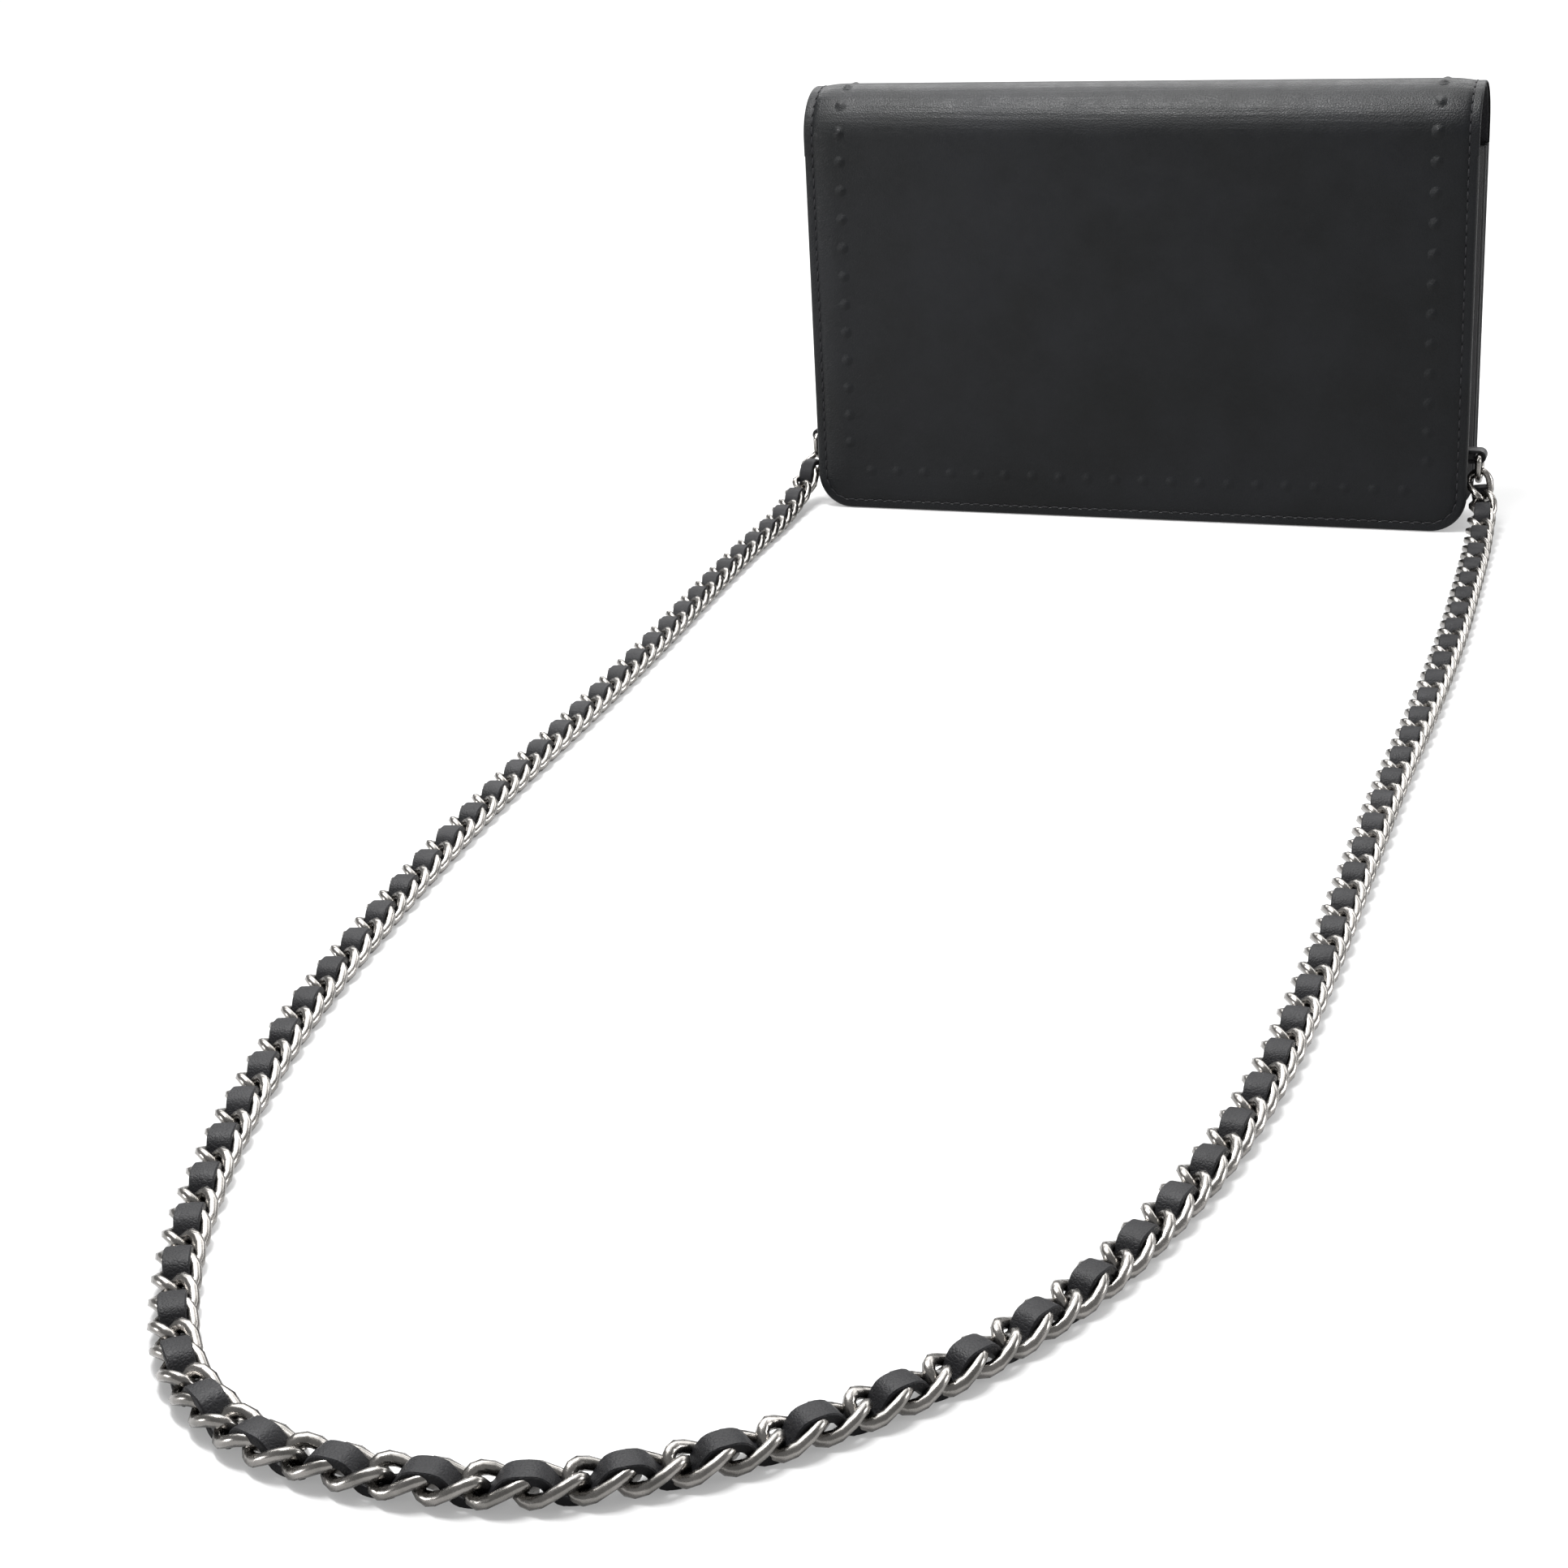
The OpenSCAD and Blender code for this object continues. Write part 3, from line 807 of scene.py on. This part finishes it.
# ---------------------------------------------------------------- gusset
def gusset():
    """A V-folded strip of leather down one side, along the foot and up the other side."""
    bm = bmesh.new()
    edge, tip, flange, t, slant = 0.6, 8.0, 6.0, 1.0, 1.4
    inward = [
        (edge + flange, BACK_IN), (edge, BACK_IN), (edge, BACK_IN + 1.1), (tip, GUSSET_Y),
        (edge, FRONT_IN - 1.1), (edge, FRONT_IN), (edge + flange, FRONT_IN), (edge + flange, FRONT_IN - t),
        (edge + slant, FRONT_IN - t), (tip + slant, GUSSET_Y), (edge + slant, BACK_IN + t),
        (edge + flange, BACK_IN + t),
    ]
    face = face_of(bm, [(-HALF_W + n, y, BODY_TOP) for n, y in inward])
    round_off(bm, [v for v in face.verts if abs(v.co.y - GUSSET_Y) < 0.01], 1.6, 4, "VERTICES")
    side = BODY_TOP - CORNER_R
    face = go(bm, bm.faces[:][0], (0, 0, -side))
    face = turn(bm, face, (-HALF_W + CORNER_R, 0, CORNER_R), (0, 1, 0), -90, 12)
    face = go(bm, face, (2 * (HALF_W - CORNER_R), 0, 0))
    face = turn(bm, face, (HALF_W - CORNER_R, 0, CORNER_R), (0, 1, 0), -90, 12)
    go(bm, face, (0, 0, side))
    return bm


piece(gusset(), "gusset_fold", edge_leather, "root", ["gusset"])

# ---------------------------------------------------------------- card slots
bm = bmesh.new()
block(bm, *span("card_backing"), 0.2)
piece(bm, "card_back_sheet", slot_leather, "root", ["card_backing"])
# The stitches along a pocket's mouth: from each side, and down from the top
MOUTH_MARGIN = 2
MOUTH_DROP = 1.8
for number in range(1, 7):
    low, high = span(f"card_slot_{number}")
    bm = bmesh.new()
    block(bm, low, high, 0.28, 3)
    piece(bm, f"card_pocket_{number}", slot_leather, "root", [f"card_slot_{number}"])
    mouth = high.x - low.x - 2 * MOUTH_MARGIN
    count = int(mouth / STITCH_PITCH)
    starts = [low.x + MOUTH_MARGIN + (k + 0.5) * mouth / count for k in range(count)]
    line = [facing(Vector((x, high.y + 0.02, high.z - MOUTH_DROP)), Vector((1, 0, 0)), Vector((0, 1, 0)))
            for x in starts]
    seam(f"card_pocket_seam_{number}", line, "root")

# ---------------------------------------------------------------- zip pocket
POCKET_T = 0.8
TEETH = 97

low, high = span("zip_pocket")
bm = bmesh.new()
cube(bm, low, high)
bmesh.ops.delete(bm, geom=[max(bm.faces, key=lambda f: f.calc_center_median().z)], context="FACES_ONLY")
round_off(bm, [e for e in bm.edges if len(e.link_faces) == 2], 1.6, 4)
bmesh.ops.recalc_face_normals(bm, faces=bm.faces)
bmesh.ops.solidify(bm, geom=bm.faces[:], thickness=POCKET_T)
piece(bm, "pocket_pouch", twill, "root", ["zip_pocket"])

ZIP_Y = (low.y + high.y) / 2
ZIP_Z = (corner_mm("zip_teeth_rear", 0).z + corner_mm("zip_teeth_rear", 1).z) / 2
# The two rows of teeth interlock, so the front one stands a little further along
for name, side, offset, ahead in (("rear", -1, 0.1, 0.3), ("front", 1, 0.5, 0)):
    # The tape: a flat strip beside the teeth and a flange down the pocket's wall
    low, high = span(f"zip_tape_{name}")
    bm = bmesh.new()
    inner, wall = sorted((low.y, high.y), key=lambda y: abs(y - ZIP_Y))
    block(bm, (low.x, low.y, ZIP_Z - 0.3), (high.x, high.y, ZIP_Z + 0.3), 0.12)
    near, far = sorted((wall, wall - side * 0.6))
    block(bm, (low.x, near, low.z), (high.x, far, ZIP_Z), 0.12)
    # The cord that the teeth grip, along the tape's edge
    rod(bm, (0, inner, ZIP_Z), 0.42, high.x - low.x, "Y", 8)
    piece(bm, f"zip_tape_strip_{name}", tape_cloth, "root", [f"zip_tape_{name}"])

    low, high = span(f"zip_teeth_{name}")
    tooth = bmesh.new()
    block(tooth, (-0.45, low.y, low.z), (0.45, high.y, high.z), 0.22, 1)
    step = (high.x - low.x) / TEETH
    bm = bmesh.new()
    starts = [low.x + (k + offset) * step + ahead for k in range(TEETH)]
    lay(bm, small(tooth), [Matrix.Translation((x, 0, 0)) for x in starts])
    piece(bm, f"zip_teeth_row_{name}", zip_metal, "root", [f"zip_teeth_{name}"])

low, high = span("zip_stops")
STOP_L = 2
bm = bmesh.new()
block(bm, low, (low.x + STOP_L, high.y, high.z), 0.35)
for near, far in ((low.y, ZIP_Y - 0.5), (ZIP_Y + 0.5, high.y)):
    block(bm, (high.x - STOP_L, near, low.z), (high.x, far, high.z), 0.35)
piece(bm, "zip_end_stops", zip_metal, "root", ["zip_stops"])

# The slider: two plates, the post between them, two lugs on top and the pull's pin
pin = joint_at("zip_pull_hinge")
low, high = span("zip_slider")
PLATE_T = 1.0
PLATE_GAP = 1.1
bm = bmesh.new()
for side in (-1, 1):
    z = ZIP_Z + side * (PLATE_GAP + PLATE_T / 2)
    block(bm, (low.x, low.y, z - PLATE_T / 2), (high.x, high.y, z + PLATE_T / 2), 0.42, 3)
block(bm, (pin.x + 1.5, ZIP_Y - 0.35, ZIP_Z - PLATE_GAP - 0.1),
      (pin.x + 3.5, ZIP_Y + 0.35, ZIP_Z + PLATE_GAP + 0.1), 0.1)
for side in (-1, 1):
    y = ZIP_Y + side * 1.5
    block(bm, (pin.x - 1.2, y - 0.3, ZIP_Z + PLATE_GAP + 0.9), (pin.x + 1.2, y + 0.3, high.z), 0.28, 2)
rod(bm, pin, 0.6, 3, "X", 16)
piece(bm, "zip_slider_body", zip_metal, "slider", ["zip_slider"])

# The pull: a flat frame, a neck, and an eye round the pin
low, high = span("zip_pull")
FRAME_END = 3.6
FRAME_T = 1.0
NECK_Y = 1.05
bm = bmesh.new()
grip = face_of(bm, [(x, y, pin.z - FRAME_T / 2) for x, y in
                    ((low.x, low.y), (pin.x - FRAME_END, low.y), (pin.x - FRAME_END, high.y), (low.x, high.y))])
round_off(bm, grip.verts[:], 1.4, 5, "VERTICES")
grip = bm.faces[:][0]
inset(bm, grip, 1.0)
bmesh.ops.delete(bm, geom=[grip], context="FACES_ONLY")
bmesh.ops.solidify(bm, geom=bm.faces[:], thickness=-FRAME_T)
block(bm, (pin.x - 4.2, ZIP_Y - NECK_Y, pin.z - 0.45), (pin.x - 0.95, ZIP_Y + NECK_Y, pin.z + 0.45), 0.2)
eye = face_of(bm, [pin + Vector((x, y, 0)) for x, y in
                   ((0.64, -NECK_Y), (1.25, -NECK_Y), (1.25, NECK_Y), (0.64, NECK_Y))])
turn(bm, eye, pin, (0, 1, 0), 359.9, 20)
piece(bm, "zip_pull_tag", zip_metal, "pull", ["zip_pull"])


# ---------------------------------------------------------------- press stud
def turned(profile, centre, look):
    """A round part from its half section, standing out along Y towards +Y or -Y."""
    bm = revolve(profile, 28)
    place = Matrix.Translation(centre) @ Matrix.Rotation(-look * math.pi / 2, 4, "X")
    bmesh.ops.transform(bm, matrix=place, verts=bm.verts)
    return bm


low, high = span("snap_socket")
snap = Vector(((low.x + high.x) / 2, low.y, (low.z + high.z) / 2))
cup = [(0, 0), (5.9, 0), (5.95, 0.25), (5.4, 0.7), (4.3, 0.85), (3.9, 1.3), (3.2, 1.4), (2.6, 1.2),
       (2.55, 0.25), (0, 0.25)]
piece(turned(cup, snap, 1), "snap_cup", zip_metal, "root", ["snap_socket"])
low, high = span("snap_stud")
tall = high.y - low.y
knob = [(0, 0), (4.9, 0), (5.0, 0.3), (4.2, 0.75), (2.6, 0.85), (1.75, 1.1), (1.7, tall - 0.8),
        (2.05, tall - 0.5), (1.8, tall - 0.1), (1.2, tall), (0, tall)]
foot = Vector((snap.x, high.y, snap.z))
piece(turned(knob, foot, -1), "snap_knob", zip_metal, "flap", ["snap_stud"])

# ---------------------------------------------------------------- tabs and rings
RING_WIRE = 1.8
RING_W = 9.0
RING_ARM = 2.5
RING_CORNER = 1.0
TAB_T = 1.0
TAB_HALF = 2.3
# How far the tab's root lies in from the wallet's side
TAB_ROOT = 7.4
# The middle of the tab's layer, out from the middle of the bar that it goes round
TAB_TURN = 0.95 + TAB_T / 2
for name, side in (("left", -1), ("right", 1)):
    joint = joint_at(f"{name}_ring_hinge")
    # The ring: a bar, two arms and a half circle, drawn on from the middle of the bar
    bm = bmesh.new()
    place = Matrix.Translation(joint) @ Matrix.Rotation(math.pi / 2, 4, "X")
    bmesh.ops.create_circle(bm, cap_ends=True, segments=12, radius=RING_WIRE / 2, matrix=place)
    half, corner = RING_W / 2 - RING_CORNER, RING_ARM - RING_CORNER
    face = go(bm, bm.faces[:][0], (0, half, 0))
    face = turn(bm, face, joint + Vector((0, half, -RING_CORNER)), (1, 0, 0), -90, 6)
    face = go(bm, face, (0, 0, -corner))
    face = turn(bm, face, joint + Vector((0, 0, -RING_ARM)), (1, 0, 0), -180, 24)
    face = go(bm, face, (0, 0, corner))
    face = turn(bm, face, joint + Vector((0, -half, -RING_CORNER)), (1, 0, 0), -90, 6)
    go(bm, face, (0, half, 0))
    piece(bm, f"d_ring_{name}", gunmetal, f"{name}_ring", [f"ring_{name}"], sharp=60)

    # The tab: a strap out of the gusset's fold, round the bar and back in under itself
    bm = bmesh.new()
    root_x = side * (HALF_W - TAB_ROOT)
    z = joint.z + TAB_TURN
    face = face_of(bm, [(root_x, joint.y + a * TAB_HALF, z + b * TAB_T / 2)
                        for a, b in ((-1, -1), (1, -1), (1, 1), (-1, 1))])
    face = go(bm, face, (joint.x - root_x, 0, 0))
    face = turn(bm, face, joint, (0, 1, 0), side * 180, 16)
    go(bm, face, (root_x - joint.x, 0, 0))
    edges = [e for e in bm.edges if all(abs(abs(v.co.y - joint.y) - TAB_HALF) < 1e-4 for v in e.verts)
             and abs(e.verts[0].co.y - e.verts[1].co.y) < 1e-4]
    round_off(bm, edges, 0.22, 2)
    # The core between the two layers
    inner_x, outer_x = sorted((root_x, joint.x - side * 1.2))
    block(bm, (inner_x, joint.y - 2.0, joint.z - 0.9), (outer_x, joint.y + 2.0, joint.z + 0.9), 0.1)
    piece(bm, f"ring_tab_{name}", tab_leather, "root", [f"tab_{name}"])

# ---------------------------------------------------------------- floor, light
FLOOR_HALF = 6
# A hair below the part, so that nothing that rests on it shares its plane
FLOOR_Z = -0.0001

bm = bmesh.new()
bmesh.ops.create_grid(bm, x_segments=1, y_segments=1, size=FLOOR_HALF)
mesh = bpy.data.meshes.new("floor")
bm.to_mesh(mesh)
bm.free()
floor = bpy.data.objects.new("floor", mesh)
bpy.context.scene.collection.objects.link(floor)
floor_paint, _, shader, _ = material("pale_floor")
shader.inputs["Base Color"].default_value = linear("#929292")
shader.inputs["Roughness"].default_value = 0.9
shader.inputs["Specular IOR Level"].default_value = 0.1
shader.inputs["Emission Color"].default_value = (1, 1, 1, 1)
shader.inputs["Emission Strength"].default_value = 0.3
mesh.materials.append(floor_paint)
floor.location.z = FLOOR_Z
floor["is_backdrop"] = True

world = bpy.data.worlds.new("studio")
world.use_nodes = True
sky = world.node_tree.nodes["Background"]
sky.inputs["Color"].default_value = (1, 1, 1, 1)
sky.inputs["Strength"].default_value = 0.45
bpy.context.scene.world = world


def softbox(name, at, look, size, power):
    """A rectangular lamp of a size in metres and a power in watts, turned to look at a point."""
    lamp = bpy.data.lights.new(name, "AREA")
    lamp.shape = "RECTANGLE"
    lamp.size, lamp.size_y = size
    lamp.energy = power
    made = bpy.data.objects.new(name, lamp)
    made.location = at
    made.rotation_euler = (Vector(look) - Vector(at)).to_track_quat("-Z", "Y").to_euler()
    made.visible_camera = False
    bpy.context.scene.collection.objects.link(made)


softbox("fold_light", (-0.17, -0.27, 0.87), (0, -0.01, 0.12), (0.45, 0.14), 16.5)
softbox("crest_light", (-0.12, 0.22, 0.85), (0, 0, 0.12), (0.5, 0.38), 3.8)
softbox("over_light", (0.0, 0.2, 1.5), (0, -0.2, 0), (1.6, 0.9), 14)
softbox("back_light", (0.0, 1.7, 1.2), (0, 1.7, 0), (4.0, 1.6), 105)
softbox("left_light", (-0.95, -0.9, 0.12), (-0.09, 0, 0.06), (0.35, 0.22), 5.5)
softbox("right_light", (1.2, 0.02, 0.35), (0.1, 0.02, 0.06), (0.4, 0.5), 9)
softbox("foot_light", (-0.2, -0.36, 0.42), (-0.04, -0.12, 0), (0.5, 0.25), 2.6)

bpy.context.scene.view_settings.view_transform = "Standard"
bpy.context.scene.view_settings.look = "None"

low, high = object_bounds()
